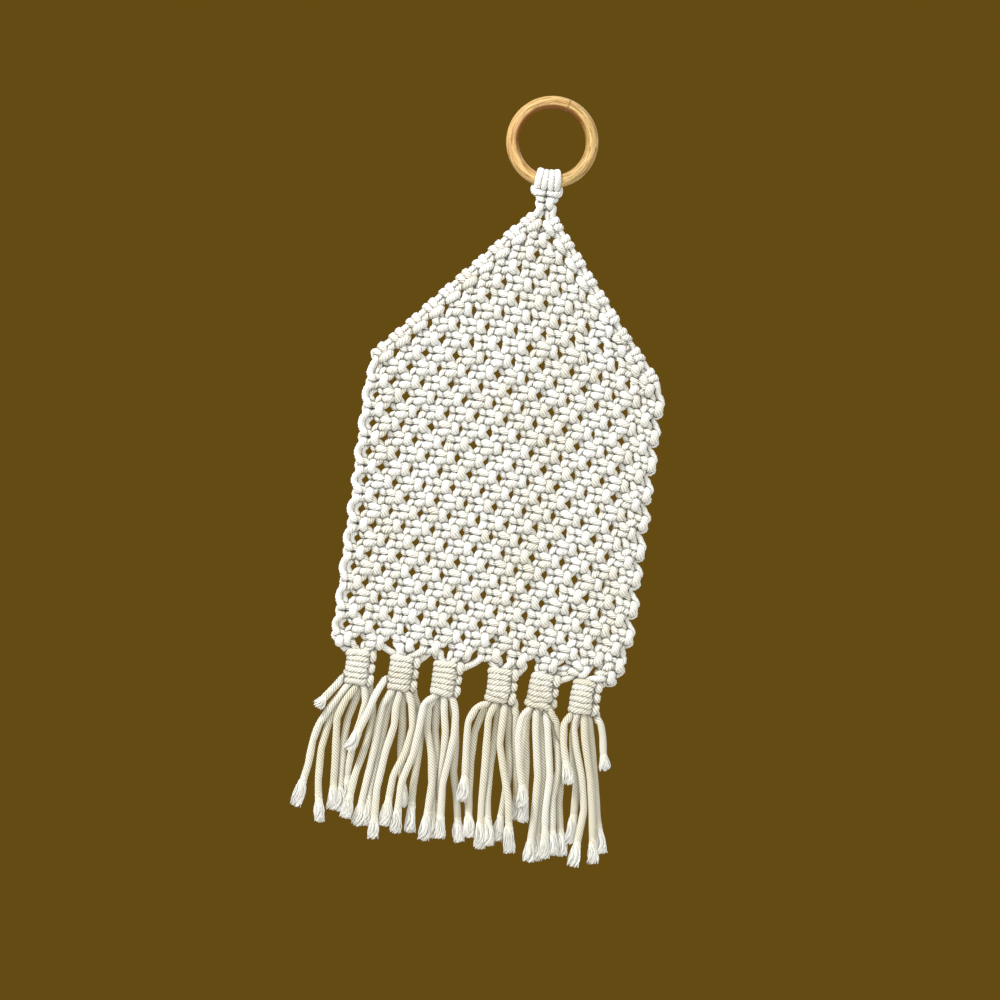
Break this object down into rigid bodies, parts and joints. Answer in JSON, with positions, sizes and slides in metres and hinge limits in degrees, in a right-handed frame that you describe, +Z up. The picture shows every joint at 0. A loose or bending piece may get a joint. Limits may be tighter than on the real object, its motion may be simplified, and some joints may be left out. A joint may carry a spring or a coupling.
{
  "type": "macrame wall hanging on a wooden ring",
  "caption": "Flat five-sided net of square-knotted cord that hangs from a round ring, with sloping shoulders and bound tassels below.",
  "frame": {"origin": "seat of the hook: middle of the ring's inner surface at its top", "axes": "+Z up, against the pull of the hanging; -Y out of the face that is looked at; +X to the viewer's right"},
  "size_m": [0.2436, 0.0231, 0.5796],
  "materials": {
    "ring_wood": "satin",
    "cotton_cord": "matte"
  },
  "bodies": {
    "root": {"ring": "ring_wood", "ring_hitch_left": "cotton_cord", "ring_hitch_right": "cotton_cord", "crown_knot": "cotton_cord", "edge_cord_left": "cotton_cord", "edge_cord_right": "cotton_cord", "net_panel": "cotton_cord", "gather_1": "cotton_cord", "gather_2": "cotton_cord", "gather_3": "cotton_cord", "gather_4": "cotton_cord", "gather_5": "cotton_cord", "gather_6": "cotton_cord", "tassel_1": "cotton_cord", "tassel_2": "cotton_cord", "tassel_3": "cotton_cord", "tassel_4": "cotton_cord", "tassel_5": "cotton_cord", "tassel_6": "cotton_cord"}
  },
  "joints": []
}
